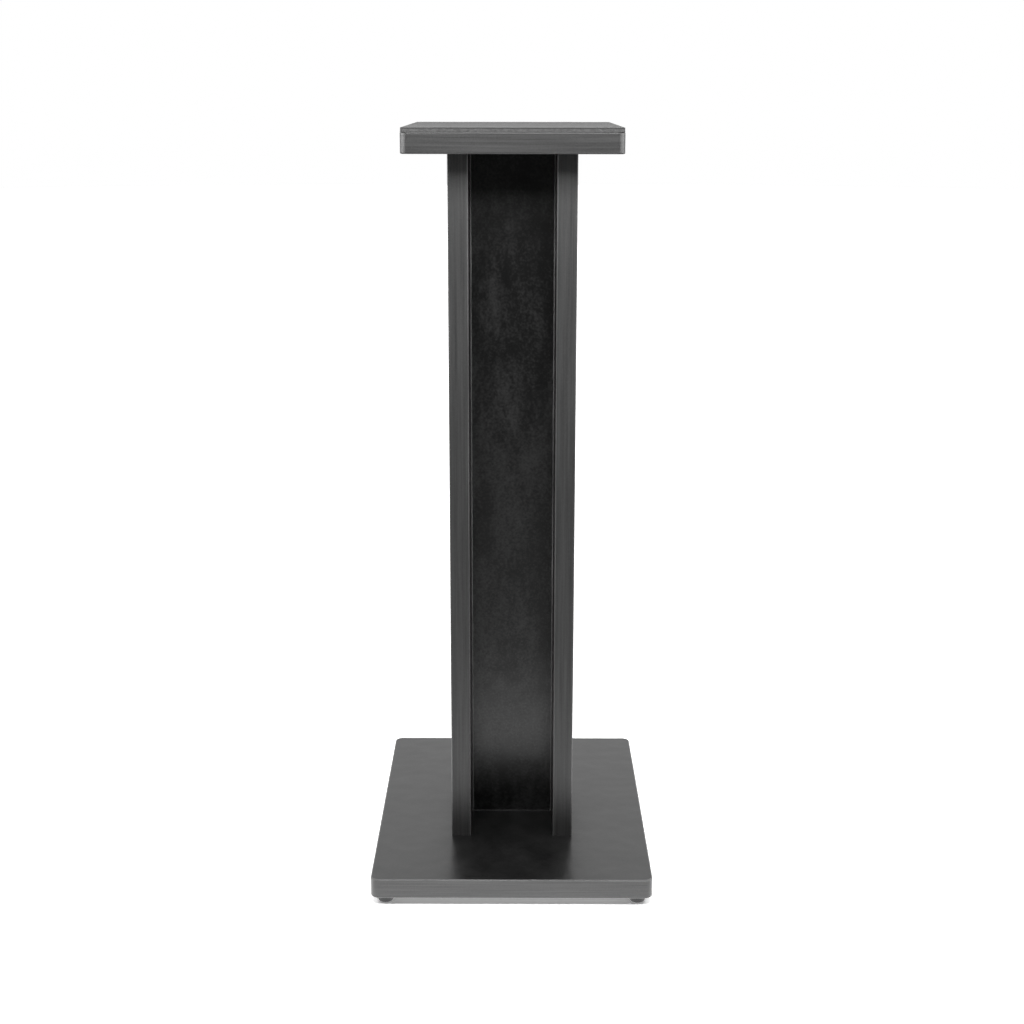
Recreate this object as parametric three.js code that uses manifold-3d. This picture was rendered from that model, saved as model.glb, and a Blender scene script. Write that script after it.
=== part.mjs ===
// A free-standing wooden stand for one bookshelf loudspeaker.
// Two side boards and a web panel make an H-shaped column between a base plate and a top plate.
// Millimetres, +Z up. The origin is on the floor under the middle of the stand, and the front faces -Y.

import * as THREE from "three";
import { mergeVertices } from "three/addons/utils/BufferGeometryUtils.js";
import Module from "manifold-3d";

const wasm = await Module();
wasm.setup();

// Driving dimensions.
const BOARD = 19.5; // every board: a 19 mm core and its finish
const BASE = { width: 273, depth: 352 };
const TOP = { width: 203, depth: 262 };
const COLUMN = { width: 122, depth: 161, height: 686 };
const FRONT_RECESS = 59.5; // from the side boards' front edges back to the web panel
const PLATE_CORNER = 8; // plan radius of both plates
const ARRIS = 1.2; // easing of every exposed board edge
const PAD = { thickness: 4, inset: 0.5, corner: 3, arris: 0.4 };
const FOOT = { height: 8, bottomRadius: 7.5, topRadius: 8, edge: 1, inset: 14 };
const FOOT_RECESS = { radius: 4.2, depth: 4.25 };
const WASHER = { radius: 3.75, hole: 2.2, thickness: 0.75 };
const FOOT_SCREW = { headRadius: 3.3, headHeight: 2.25, shankRadius: 1.75, length: 20 };
const CONNECTOR = {
  headRadius: 5,
  rim: 0.8,
  headHeight: 3.6,
  collarRadius: 3.5,
  collarEnd: 12,
  coreRadius: 2.5,
  pitch: 6,
  crests: 5,
  length: 50,
  sunk: 0.5,
  socketFlats: 4,
  socketDepth: 2.5,
};
const CONNECTOR_SPACING = { sideBoard: 104, web: 42 };
const DOWEL = { radius: 4, length: 32, inBoard: 13, chamfer: 0.8, flutes: 8, fluteDepth: 0.35, count: 4 };
const CLEARANCE = 0.3; // round every hidden fastener, and in the feet's screw holes

// Heights and places that follow from them.
const COLUMN_BOTTOM = FOOT.height + BOARD;
const TOP_BOTTOM = COLUMN_BOTTOM + COLUMN.height;
const SIDE_BOARD_X = (COLUMN.width - BOARD) / 2;
const WEB_WIDTH = COLUMN.width - 2 * BOARD;
const WEB_Y = FRONT_RECESS + BOARD / 2 - COLUMN.depth / 2;
const CONNECTOR_REACH = CONNECTOR.length + CONNECTOR.sunk - BOARD; // into the column's end grain
const DOWEL_IN_WEB = DOWEL.length - DOWEL.inBoard;
const PAST = 1; // how far a cutting tool runs past the face that it enters

const SIDES = { left: -1, right: 1 };
const ENDS = { front: -1, rear: 1 };

const FINISHES = {
  lacquer: { color: 0x2a2b2d, roughness: 0.4, metalness: 0 },
  foam: { color: 0x48494b, roughness: 0.9, metalness: 0 },
  rubber: { color: 0x151516, roughness: 0.75, metalness: 0 },
  zinc: { color: 0xb4b7ba, roughness: 0.35, metalness: 1 },
  beech: { color: 0xc8a27a, roughness: 0.7, metalness: 0 },
};

/** The same solid without doubled vertices or triangles that have no area. */
function closedMesh(geometry) {
  const bare = geometry.clone();
  bare.deleteAttribute("normal");
  bare.deleteAttribute("uv");
  const merged = mergeVertices(bare);
  const corners = Array.from(merged.index.array);
  const kept = [];
  for (let i = 0; i < corners.length; i += 3) {
    const [a, b, c] = corners.slice(i, i + 3);
    if (a !== b && b !== c && c !== a) kept.push(a, b, c);
  }
  merged.setIndex(kept);
  return merged;
}

/** A solid that can be cut, from a closed geometry. */
function toSolid(geometry) {
  const mesh = closedMesh(geometry);
  return new wasm.Manifold(
    new wasm.Mesh({
      numProp: 3,
      vertProperties: mesh.attributes.position.array,
      triVerts: new Uint32Array(mesh.index.array),
    }),
  );
}

/** The geometry less every cutting tool. */
function cut(geometry, tools) {
  let solid = toSolid(geometry);
  for (const tool of tools) solid = solid.subtract(toSolid(tool));
  const { vertProperties, triVerts } = solid.getMesh();
  const result = new THREE.BufferGeometry();
  result.setAttribute("position", new THREE.BufferAttribute(vertProperties, 3));
  result.setIndex(new THREE.BufferAttribute(triVerts, 1));
  result.computeVertexNormals();
  return result;
}

/** A named mesh with its own material. */
function piece(name, geometry, finish) {
  const material = new THREE.MeshStandardMaterial({ ...FINISHES[finish], flatShading: true });
  const mesh = new THREE.Mesh(geometry, material);
  mesh.name = name;
  return mesh;
}

/** A rectangle with rounded corners, centred on the origin. */
function roundedRectangle(width, depth, radius) {
  const x = width / 2 - radius;
  const y = depth / 2 - radius;
  const quarter = Math.PI / 2;
  const outline = new THREE.Shape();
  outline.absarc(x, -y, radius, -quarter, 0);
  outline.absarc(x, y, radius, 0, quarter);
  outline.absarc(-x, y, radius, quarter, 2 * quarter);
  outline.absarc(-x, -y, radius, 2 * quarter, 3 * quarter);
  outline.closePath();
  return outline;
}

/** A sheet lying on z = 0, with rounded plan corners and eased arrises. */
function lyingSheet(width, depth, thickness, radius, arris, steps) {
  return new THREE.ExtrudeGeometry(roundedRectangle(width, depth, radius), {
    depth: thickness - 2 * arris,
    bevelThickness: arris,
    bevelSize: arris,
    bevelOffset: -arris,
    bevelSegments: steps,
    curveSegments: 4,
  }).translate(0, 0, arris);
}

/** A board standing on z = 0, with its long edges eased and its ends sawn square. */
function standingBoard(width, depth) {
  return new THREE.ExtrudeGeometry(roundedRectangle(width, depth, ARRIS), {
    depth: COLUMN.height,
    bevelEnabled: false,
    curveSegments: 2,
  });
}

/** A turned shape: [radius, height] pairs spun about Z. */
function turned(profile, segments) {
  const points = profile.map(([radius, height]) => new THREE.Vector2(radius, height));
  return new THREE.LatheGeometry(points, segments).rotateX(Math.PI / 2);
}

/** A plain drill: a cylinder from z = -PAST up to the given depth. */
function drill(radius, depth) {
  return turned([[0, -PAST], [radius, -PAST], [radius, depth], [0, depth]], 16);
}

/** A countersunk connecting screw with its head at z = 0 and its point up. */
function connector() {
  const { headRadius, rim, headHeight, collarRadius, collarEnd, coreRadius, pitch, crests } = CONNECTOR;
  const profile = [
    [0, 0],
    [headRadius, 0],
    [headRadius, rim],
    [collarRadius, headHeight],
    [collarRadius, collarEnd],
  ];
  for (let crest = 0; crest < crests; crest += 1) {
    const height = collarEnd + crest * pitch;
    profile.push([coreRadius, height + 0.3 * pitch], [coreRadius, height + 0.7 * pitch]);
    profile.push([collarRadius, height + pitch]);
  }
  profile.push([coreRadius, collarEnd + (crests + 0.3) * pitch], [0, CONNECTOR.length]);
  const socketRadius = CONNECTOR.socketFlats / Math.sqrt(3);
  const socket = new THREE.CylinderGeometry(socketRadius, socketRadius, CONNECTOR.socketDepth + PAST, 6)
    .rotateX(Math.PI / 2)
    .translate(0, 0, (CONNECTOR.socketDepth - PAST) / 2);
  return cut(turned(profile, 10), [socket]);
}

/** The countersunk hole that takes a connecting screw through a plate whose head side is z = 0. */
function countersunkHole() {
  const head = CONNECTOR.headRadius + CLEARANCE;
  const collar = CONNECTOR.collarRadius + CLEARANCE;
  const rim = CONNECTOR.sunk + CONNECTOR.rim + CLEARANCE;
  const neck = CONNECTOR.sunk + CONNECTOR.headHeight + CLEARANCE;
  const exit = BOARD + PAST;
  return turned([[0, -PAST], [head, -PAST], [head, rim], [collar, neck], [collar, exit], [0, exit]], 16);
}

/** The two screw holes in an end of a column board, at x = +-half or y = +-half, for both of its ends. */
function endHoles(along, spacing, y) {
  const holes = [];
  for (const side of [-1, 1]) {
    const place = along === "x" ? [(side * spacing) / 2, y] : [0, (side * spacing) / 2];
    const hole = () => drill(CONNECTOR.collarRadius + CLEARANCE, CONNECTOR_REACH + CLEARANCE);
    holes.push(hole().translate(...place, 0));
    holes.push(hole().rotateX(Math.PI).translate(...place, COLUMN.height));
  }
  return holes;
}

/** Heights of the dowels above the column's bottom. */
function dowelHeights() {
  const step = COLUMN.height / DOWEL.count;
  return Array.from({ length: DOWEL.count }, (_, index) => (index + 0.5) * step);
}

/** A fluted dowel along +X from x = 0, with chamfered ends. */
function dowel() {
  const outline = new THREE.Shape();
  const corners = 2 * DOWEL.flutes;
  for (let corner = 0; corner < corners; corner += 1) {
    const angle = (corner / corners) * 2 * Math.PI;
    const radius = DOWEL.radius - (corner % 2) * DOWEL.fluteDepth;
    const point = [radius * Math.cos(angle), radius * Math.sin(angle)];
    if (corner === 0) outline.moveTo(...point);
    else outline.lineTo(...point);
  }
  outline.closePath();
  return new THREE.ExtrudeGeometry(outline, {
    depth: DOWEL.length - 2 * DOWEL.chamfer,
    bevelThickness: DOWEL.chamfer,
    bevelSize: DOWEL.chamfer,
    bevelOffset: -DOWEL.chamfer,
    bevelSegments: 1,
  })
    .translate(0, 0, DOWEL.chamfer)
    .rotateY(Math.PI / 2);
}

/** The dowel holes in a face, drilled towards +X or -X from the given x. */
function dowelHoles(side, x, y, depth) {
  return dowelHeights().map((height) =>
    drill(DOWEL.radius + CLEARANCE, depth + CLEARANCE)
      .rotateY((side * Math.PI) / 2)
      .translate(x, y, height),
  );
}

/** A side board, standing on z = 0 round the Z axis, and drilled on the face towards the web. */
function sideBoard(side) {
  const holes = [
    ...endHoles("y", CONNECTOR_SPACING.sideBoard, 0),
    ...dowelHoles(side, (-side * BOARD) / 2, WEB_Y, DOWEL.inBoard),
  ];
  return cut(standingBoard(BOARD, COLUMN.depth), holes);
}

/** The web panel, standing on z = 0, with its middle at y = 0. */
function webPanel() {
  const holes = endHoles("x", CONNECTOR_SPACING.web, 0);
  for (const side of [-1, 1]) {
    holes.push(...dowelHoles(-side, (side * WEB_WIDTH) / 2, 0, DOWEL_IN_WEB));
  }
  return cut(standingBoard(WEB_WIDTH, BOARD), holes);
}

/** Names and places of the connecting screws in each plate: two in each side board and two in the web. */
function connectorSpots() {
  const spots = [];
  for (const [side, x] of Object.entries(SIDES)) {
    for (const [end, y] of Object.entries(ENDS)) {
      spots.push([`${side}_${end}`, x * SIDE_BOARD_X, (y * CONNECTOR_SPACING.sideBoard) / 2]);
    }
    spots.push([`web_${side}`, (x * CONNECTOR_SPACING.web) / 2, WEB_Y]);
  }
  return spots;
}

/** Names and places of the four feet. */
function footSpots() {
  const spots = [];
  for (const [side, x] of Object.entries(SIDES)) {
    for (const [end, y] of Object.entries(ENDS)) {
      spots.push([`${end}_${side}`, x * (BASE.width / 2 - FOOT.inset), y * (BASE.depth / 2 - FOOT.inset)]);
    }
  }
  return spots;
}

/** A moulded bumper foot on z = 0: a flat ring that meets the floor round a recess for its screw. */
function footBumper() {
  const { height, bottomRadius, topRadius, edge } = FOOT;
  const hole = FOOT_SCREW.shankRadius + CLEARANCE;
  const { radius, depth } = FOOT_RECESS;
  const bend = edge * (1 - Math.SQRT1_2);
  return turned(
    [
      [radius, 0],
      [bottomRadius - edge, 0],
      [bottomRadius - bend, bend],
      [bottomRadius, edge],
      [topRadius, height - edge],
      [topRadius - bend, height - bend],
      [topRadius - edge, height],
      [hole, height],
      [hole, depth],
      [radius, depth],
      [radius, 0],
    ],
    24,
  );
}

/** A flat washer whose upper face is at z = 0. */
function washer() {
  const { radius, hole, thickness } = WASHER;
  return turned([[hole, -thickness], [radius, -thickness], [radius, 0], [hole, 0], [hole, -thickness]], 16);
}

/** A pan-head screw with a cross recess, its head under z = 0 and its shank above. */
function footScrew() {
  const { headRadius, headHeight, shankRadius, length } = FOOT_SCREW;
  const profile = [
    [0, -headHeight],
    [0.6 * headRadius, -headHeight],
    [0.9 * headRadius, -0.7 * headHeight],
    [headRadius, -0.3 * headHeight],
    [headRadius, 0],
    [shankRadius, 0],
    [shankRadius, length - 2 * shankRadius],
    [0, length],
  ];
  const slot = { width: 0.9, length: 3.6, depth: 1.2 };
  const bars = [
    [slot.width, slot.length],
    [slot.length, slot.width],
  ].map(([x, y]) => new THREE.BoxGeometry(x, y, 2 * slot.depth).translate(0, 0, -headHeight));
  return cut(turned(profile, 12), bars);
}

/** The base plate, its connecting screws from below, and the feet under its corners. */
function baseAssembly() {
  const group = new THREE.Group();
  const pilotDepth = FOOT_SCREW.length - (FOOT.height - FOOT_RECESS.depth + WASHER.thickness) + CLEARANCE;
  const holes = connectorSpots().map(([, x, y]) => countersunkHole().translate(x, y, 0));
  for (const [, x, y] of footSpots()) {
    holes.push(drill(FOOT_SCREW.shankRadius + CLEARANCE, pilotDepth).translate(x, y, 0));
  }
  const board = lyingSheet(BASE.width, BASE.depth, BOARD, PLATE_CORNER, ARRIS, 3);
  const plate = piece("base_plate", cut(board, holes), "lacquer");
  plate.position.z = FOOT.height;
  group.add(plate);
  for (const [spot, x, y] of connectorSpots()) {
    const screw = piece(`base_screw_${spot}`, connector(), "zinc");
    screw.position.set(x, y, FOOT.height + CONNECTOR.sunk);
    group.add(screw);
  }
  for (const [spot, x, y] of footSpots()) group.add(footAssembly(spot, x, y));
  return group;
}

/** One foot with its washer and screw. */
function footAssembly(spot, x, y) {
  const group = new THREE.Group();
  const bumper = piece(`foot_${spot}`, footBumper(), "rubber");
  const disc = piece(`foot_washer_${spot}`, washer(), "zinc");
  const screw = piece(`foot_screw_${spot}`, footScrew(), "zinc");
  disc.position.z = FOOT_RECESS.depth;
  screw.position.z = FOOT_RECESS.depth - WASHER.thickness;
  group.add(bumper, disc, screw);
  group.position.set(x, y, 0);
  return group;
}

/** The two side boards, the web panel between them, and the dowels that join them. */
function columnAssembly() {
  const group = new THREE.Group();
  for (const [name, side] of Object.entries(SIDES)) {
    const board = piece(`${name}_side_board`, sideBoard(side), "lacquer");
    board.position.x = side * SIDE_BOARD_X;
    group.add(board);
    dowelHeights().forEach((height, index) => {
      const pin = piece(`dowel_${name}_${index + 1}`, dowel(), "beech");
      const inner = WEB_WIDTH / 2 - DOWEL_IN_WEB;
      pin.position.set(side > 0 ? inner : -inner - DOWEL.length, WEB_Y, height);
      group.add(pin);
    });
  }
  const web = piece("web_panel", webPanel(), "lacquer");
  web.position.y = WEB_Y;
  group.add(web);
  group.position.z = COLUMN_BOTTOM;
  return group;
}

/** The top plate, its connecting screws from above, and the pad that hides them. */
function topAssembly() {
  const group = new THREE.Group();
  const holes = connectorSpots().map(([, x, y]) =>
    countersunkHole().rotateX(Math.PI).translate(x, y, BOARD),
  );
  const board = lyingSheet(TOP.width, TOP.depth, BOARD, PLATE_CORNER, ARRIS, 3);
  group.add(piece("top_plate", cut(board, holes), "lacquer"));
  for (const [spot, x, y] of connectorSpots()) {
    const screw = piece(`top_screw_${spot}`, connector(), "zinc");
    screw.rotation.x = Math.PI;
    screw.position.set(x, y, BOARD - CONNECTOR.sunk);
    group.add(screw);
  }
  const { thickness, inset, corner, arris } = PAD;
  const width = TOP.width - 2 * inset;
  const depth = TOP.depth - 2 * inset;
  const sheet = lyingSheet(width, depth, thickness, corner, arris, 1);
  const pad = piece("isolation_pad", sheet, "foam");
  pad.position.z = BOARD;
  group.add(pad);
  group.position.z = TOP_BOTTOM;
  return group;
}

const stand = new THREE.Group();
stand.add(baseAssembly(), columnAssembly(), topAssembly());

export default stand;
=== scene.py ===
# A free-standing wooden stand for one bookshelf loudspeaker, with its finishes and a plain studio.
# The row frame is in metres: +Z up, the origin on the floor under the middle, the front faces -Y.
# The classes hold their sizes in millimetres, and a piece becomes metres when it is finished.
import logging
import math
from collections.abc import Iterable, Sequence
from dataclasses import dataclass, field
from enum import Enum

import bmesh
import bpy
from bmesh.types import BMEdge, BMesh, BMVert
from mathutils import Matrix, Vector, noise


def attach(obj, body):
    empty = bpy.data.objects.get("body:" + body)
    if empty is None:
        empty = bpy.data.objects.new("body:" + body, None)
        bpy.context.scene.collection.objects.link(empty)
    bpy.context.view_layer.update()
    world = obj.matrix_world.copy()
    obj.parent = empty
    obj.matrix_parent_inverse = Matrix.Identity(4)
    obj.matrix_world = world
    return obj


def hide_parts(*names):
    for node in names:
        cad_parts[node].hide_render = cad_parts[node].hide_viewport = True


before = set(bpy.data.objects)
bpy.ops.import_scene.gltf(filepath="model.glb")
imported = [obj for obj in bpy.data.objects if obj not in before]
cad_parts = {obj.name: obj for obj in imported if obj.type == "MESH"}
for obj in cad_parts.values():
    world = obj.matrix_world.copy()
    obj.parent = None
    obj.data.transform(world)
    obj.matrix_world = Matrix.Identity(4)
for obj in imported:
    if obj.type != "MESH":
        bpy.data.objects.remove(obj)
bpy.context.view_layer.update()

log = logging.getLogger("stand")

MM = 0.001
BOARD = 19.5
ARRIS = 1.2
PLATE_CORNER = 8.0
FOOT_HEIGHT = 8.0
COLUMN_HEIGHT = 686.0
COLUMN_BOTTOM = FOOT_HEIGHT + BOARD
TOP_BOTTOM = COLUMN_BOTTOM + COLUMN_HEIGHT


class Axis(Enum):
    """An axis of the row frame, by its place in a vector."""

    X = 0
    Y = 1
    Z = 2


class Lay(Enum):
    """Which way the saw and sanding lines of a cut edge run, as millimetres per pattern cell in x, y and z."""

    UPRIGHT = (1.9, 1.9, 110.0)
    LEVEL = (90.0, 90.0, 1.6)


class Slot(Enum):
    """The record's material slots."""

    LACQUER = "black_lacquered_board"
    FOAM = "isolation_foam"
    RUBBER = "foot_rubber"
    ZINC = "zinc_plated_steel"
    BEECH = "beech"


# ---------------------------------------------------------------- nodes and colours


def linear(shade: str) -> tuple[float, float, float, float]:
    """Turns an sRGB hex colour into linear RGBA.

    Args:
        shade: six hex digits with a leading #.

    Returns:
        Linear red, green, blue and an alpha of 1.
    """
    parts = [int(shade[i : i + 2], 16) / 255 for i in (1, 3, 5)]
    red, green, blue = (c / 12.92 if c <= 0.04045 else ((c + 0.055) / 1.055) ** 2.4 for c in parts)
    return red, green, blue, 1.0


def per_metre(size: float) -> float:
    """How many pattern cells of that many millimetres fit in a metre."""
    return 1 / (size * MM)


def add_node(
    tree: bpy.types.NodeTree,
    kind: str,
    settings: dict[str | int, object] | None = None,
    links: dict[str | int, bpy.types.NodeSocket] | None = None,
) -> bpy.types.Node:
    """Adds a node with its settings and links.

    Args:
        tree: the node tree it goes in.
        kind: the node's type name.
        settings: values of the node's own properties, or of its input sockets by name or number.
        links: output sockets to join to its inputs, by the input's name or number.

    Returns:
        The new node.
    """
    node = tree.nodes.new(kind)
    for key, value in (settings or {}).items():
        if isinstance(key, str) and hasattr(node, key):
            setattr(node, key, value)
        else:
            node.inputs[key].default_value = value
    for key, source in (links or {}).items():
        tree.links.new(source, node.inputs[key])
    return node


# ---------------------------------------------------------------- finishes


@dataclass(frozen=True)
class Finish:
    """One real finish.

    Attributes:
        name: the material's name, after what it is and how its surface was made.
        colour: sRGB hex of its body colour.
        roughness: mean micro-roughness.
    """

    name: str
    colour: str
    roughness: float

    def material(self) -> bpy.types.Material:
        """Returns the finish as a material, made the first time it is asked for."""
        made = bpy.data.materials.get(self.name)
        if made is None:
            made = bpy.data.materials.new(self.name)
            made.use_nodes = True
            shader = made.node_tree.nodes["Principled BSDF"]
            shader.inputs["Base Color"].default_value = linear(self.colour)
            shader.inputs["Roughness"].default_value = self.roughness
            self.dress(made.node_tree, shader)
        return made

    def dress(self, tree: bpy.types.NodeTree, shader: bpy.types.Node) -> None:
        """Adds the finish's patterns to a new material.

        Args:
            tree: the material's nodes.
            shader: its Principled BSDF.
        """
        raise NotImplementedError


@dataclass(frozen=True)
class SprayedLacquer(Finish):
    """Satin black lacquer sprayed on a flat fibreboard face.

    It is near black and mostly shows what it mirrors, softly. The spray passes leave long clouds in
    the film, and the film has a fine grain and a faint orange peel.

    Attributes:
        cloud: size of a cloud along x, y and z, in millimetres.
        grain: across one speck of the grain, in millimetres.
        peel: across one dimple of the orange peel, in millimetres.
        thin: sRGB hex where the film is thin.
        span: the values of the pattern where the film is full and where it is thin.
        swell: across one of the long waves where the board shows through the film, in millimetres.
        wave: their height, drawn deeper than it is so that it shows, in millimetres.
    """

    cloud: tuple[float, float, float] = (26.0, 34.0, 150.0)
    grain: float = 2.0
    peel: float = 2.6
    thin: str = "#1d1d1d"
    span: tuple[float, float] = (0.7, 1.2)
    swell: float = 26.0
    wave: float = 0.4

    def dress(self, tree: bpy.types.NodeTree, shader: bpy.types.Node) -> None:
        """Adds the clouds, the grain and the orange peel."""
        place = add_node(tree, "ShaderNodeTexCoord").outputs["Object"]
        passes = add_node(tree, "ShaderNodeMapping", {"Scale": [per_metre(cell) for cell in self.cloud]}, {"Vector": place})
        clouds = add_node(
            tree, "ShaderNodeTexNoise", {"Scale": 1.0, "Detail": 5.0, "Roughness": 0.6}, {"Vector": passes.outputs[0]}
        )
        grain = add_node(tree, "ShaderNodeTexNoise", {"Scale": per_metre(self.grain), "Detail": 2.0}, {"Vector": place})
        both = add_node(
            tree, "ShaderNodeMath", {"operation": "MULTIPLY_ADD", 1: 0.9}, {0: grain.outputs[0], 2: clouds.outputs[0]}
        )
        depth = add_node(tree, "ShaderNodeMapRange", {"From Min": self.span[0], "From Max": self.span[1]}, {"Value": both.outputs[0]})
        film = add_node(
            tree, "ShaderNodeMix", {"data_type": "RGBA", 6: linear(self.colour), 7: linear(self.thin)}, {0: depth.outputs[0]}
        )
        tree.links.new(film.outputs[2], shader.inputs["Base Color"])
        sheen = add_node(
            tree,
            "ShaderNodeMapRange",
            {"From Min": 0.3, "From Max": 0.7, "To Min": self.roughness - 0.03, "To Max": self.roughness + 0.04},
            {"Value": clouds.outputs[0]},
        )
        tree.links.new(sheen.outputs[0], shader.inputs["Roughness"])
        peel = add_node(tree, "ShaderNodeTexNoise", {"Scale": per_metre(self.peel), "Detail": 1.0}, {"Vector": place})
        swell = add_node(tree, "ShaderNodeTexNoise", {"Scale": per_metre(self.swell), "Detail": 1.0}, {"Vector": place})
        wave = add_node(tree, "ShaderNodeBump", {"Distance": self.wave * MM}, {"Height": swell.outputs[0]})
        ripple = add_node(
            tree,
            "ShaderNodeBump",
            {"Strength": 0.5, "Distance": 0.03 * MM},
            {"Height": peel.outputs[0], "Normal": wave.outputs[0]},
        )
        tree.links.new(ripple.outputs[0], shader.inputs["Normal"])


@dataclass(frozen=True)
class LacqueredEdge(Finish):
    """The same lacquer on a sawn and sanded edge.

    The open fibres drink the film, so it dries greyer and more matt, and the lines of the saw and
    the sanding block show along the edge.

    Attributes:
        lay: which way those lines run.
        light: sRGB hex of the palest fibres, and in the arris and upright joint finishes the brightest part of a
            painted highlight line.
        fibre: across one fibre, in millimetres.
    """

    lay: Lay = Lay.UPRIGHT
    light: str = "#3d3d3d"
    fibre: float = 0.9

    def dress(self, tree: bpy.types.NodeTree, shader: bpy.types.Node) -> None:
        """Adds the long lines, the short fibre speckle and their relief."""
        place = add_node(tree, "ShaderNodeTexCoord").outputs["Object"]
        stretched = add_node(
            tree, "ShaderNodeMapping", {"Scale": [per_metre(cell) for cell in self.lay.value]}, {"Vector": place}
        )
        lines = add_node(
            tree, "ShaderNodeTexNoise", {"Scale": 1.0, "Detail": 3.0, "Roughness": 0.6}, {"Vector": stretched.outputs[0]}
        )
        speckle = add_node(tree, "ShaderNodeTexNoise", {"Scale": per_metre(self.fibre), "Detail": 2.0}, {"Vector": place})
        both = add_node(
            tree, "ShaderNodeMath", {"operation": "MULTIPLY_ADD", 1: 0.35}, {0: speckle.outputs[0], 2: lines.outputs[0]}
        )
        shade = add_node(
            tree,
            "ShaderNodeMapRange",
            {"From Min": 0.42, "From Max": 0.92, "To Min": 0.0, "To Max": 1.0},
            {"Value": both.outputs[0]},
        )
        film = add_node(
            tree, "ShaderNodeMix", {"data_type": "RGBA", 6: linear(self.colour), 7: linear(self.light)}, {0: shade.outputs[0]}
        )
        tree.links.new(film.outputs[2], shader.inputs["Base Color"])
        relief = add_node(tree, "ShaderNodeBump", {"Strength": 0.6, "Distance": 0.05 * MM}, {"Height": both.outputs[0]})
        tree.links.new(relief.outputs[0], shader.inputs["Normal"])


@dataclass(frozen=True)
class DrilledFibreboard(Finish):
    """Raw fibreboard inside a drilled hole: tan, dull and fuzzy."""

    fibre: float = 0.7

    def dress(self, tree: bpy.types.NodeTree, shader: bpy.types.Node) -> None:
        """Adds the pale and dark fibres."""
        place = add_node(tree, "ShaderNodeTexCoord").outputs["Object"]
        fibres = add_node(
            tree, "ShaderNodeTexNoise", {"Scale": per_metre(self.fibre), "Detail": 4.0, "Roughness": 0.7}, {"Vector": place}
        )
        pulp = add_node(
            tree, "ShaderNodeMix", {"data_type": "RGBA", 6: linear("#7d6242"), 7: linear(self.colour)}, {0: fibres.outputs[0]}
        )
        tree.links.new(pulp.outputs[2], shader.inputs["Base Color"])
        fuzz = add_node(tree, "ShaderNodeBump", {"Strength": 0.7, "Distance": 0.1 * MM}, {"Height": fibres.outputs[0]})
        tree.links.new(fuzz.outputs[0], shader.inputs["Normal"])


@dataclass(frozen=True)
class CutFoam(Finish):
    """Closed-cell foam sheet: matt grey with fine cells, and a dark band just below the top of its rim.

    Attributes:
        deep: sRGB hex where the foam is densest.
        cell: across one cell, in millimetres.
        rim: height of the middle of the dark line, in millimetres above the floor.
        rim_colour: the line's colour.
    """

    deep: str = "#343434"
    cell: float = 0.9
    rim: float = 736.35
    rim_colour: str = "#1b1b1b"

    def dress(self, tree: bpy.types.NodeTree, shader: bpy.types.Node) -> None:
        """Adds the foam's drifting tone, the dark line along its rim and the cells' relief."""
        place = add_node(tree, "ShaderNodeTexCoord").outputs["Object"]
        cells = add_node(tree, "ShaderNodeTexVoronoi", {"Scale": per_metre(self.cell)}, {"Vector": place})
        drift = add_node(tree, "ShaderNodeTexNoise", {"Scale": per_metre(2.6), "Detail": 4.0, "Roughness": 0.7}, {"Vector": place})
        tone = add_node(
            tree,
            "ShaderNodeMapRange",
            {"From Min": 0.32, "From Max": 0.68, "To Min": 0.0, "To Max": 1.0},
            {"Value": drift.outputs[0]},
        )
        body = add_node(
            tree, "ShaderNodeMix", {"data_type": "RGBA", 6: linear(self.deep), 7: linear(self.colour)}, {0: tone.outputs[0]}
        )
        height = add_node(tree, "ShaderNodeSeparateXYZ", links={0: place}).outputs["Z"]
        middle = add_node(tree, "ShaderNodeMath", {"operation": "SUBTRACT", 1: self.rim * MM}, {0: height})
        off = add_node(tree, "ShaderNodeMath", {"operation": "ABSOLUTE"}, {0: middle.outputs[0]})
        rim_band = add_node(
            tree,
            "ShaderNodeMapRange",
            {"From Min": 0.3 * MM, "From Max": 0.5 * MM, "To Min": 1.0, "To Max": 0.0},
            {"Value": off.outputs[0]},
        )
        sheet = add_node(
            tree,
            "ShaderNodeMix",
            {"data_type": "RGBA", 7: linear(self.rim_colour)},
            {0: rim_band.outputs[0], 6: body.outputs[2]},
        )
        tree.links.new(sheet.outputs[2], shader.inputs["Base Color"])
        pits = add_node(tree, "ShaderNodeBump", {"Strength": 0.8, "Distance": 0.25 * MM}, {"Height": cells.outputs["Distance"]})
        tree.links.new(pits.outputs[0], shader.inputs["Normal"])


@dataclass(frozen=True)
class MouldedRubber(Finish):
    """Black moulded rubber with the fine spark-eroded matt of its mould."""

    grain: float = 0.5

    def dress(self, tree: bpy.types.NodeTree, shader: bpy.types.Node) -> None:
        """Adds the mould's grain and a little dust in it."""
        place = add_node(tree, "ShaderNodeTexCoord").outputs["Object"]
        grain = add_node(tree, "ShaderNodeTexNoise", {"Scale": per_metre(self.grain), "Detail": 2.0}, {"Vector": place})
        dust = add_node(
            tree, "ShaderNodeMix", {"data_type": "RGBA", 6: linear(self.colour), 7: linear("#1e1e1f")}, {0: grain.outputs[0]}
        )
        tree.links.new(dust.outputs[2], shader.inputs["Base Color"])
        bump = add_node(tree, "ShaderNodeBump", {"Strength": 0.4, "Distance": 0.03 * MM}, {"Height": grain.outputs[0]})
        tree.links.new(bump.outputs[0], shader.inputs["Normal"])


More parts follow.
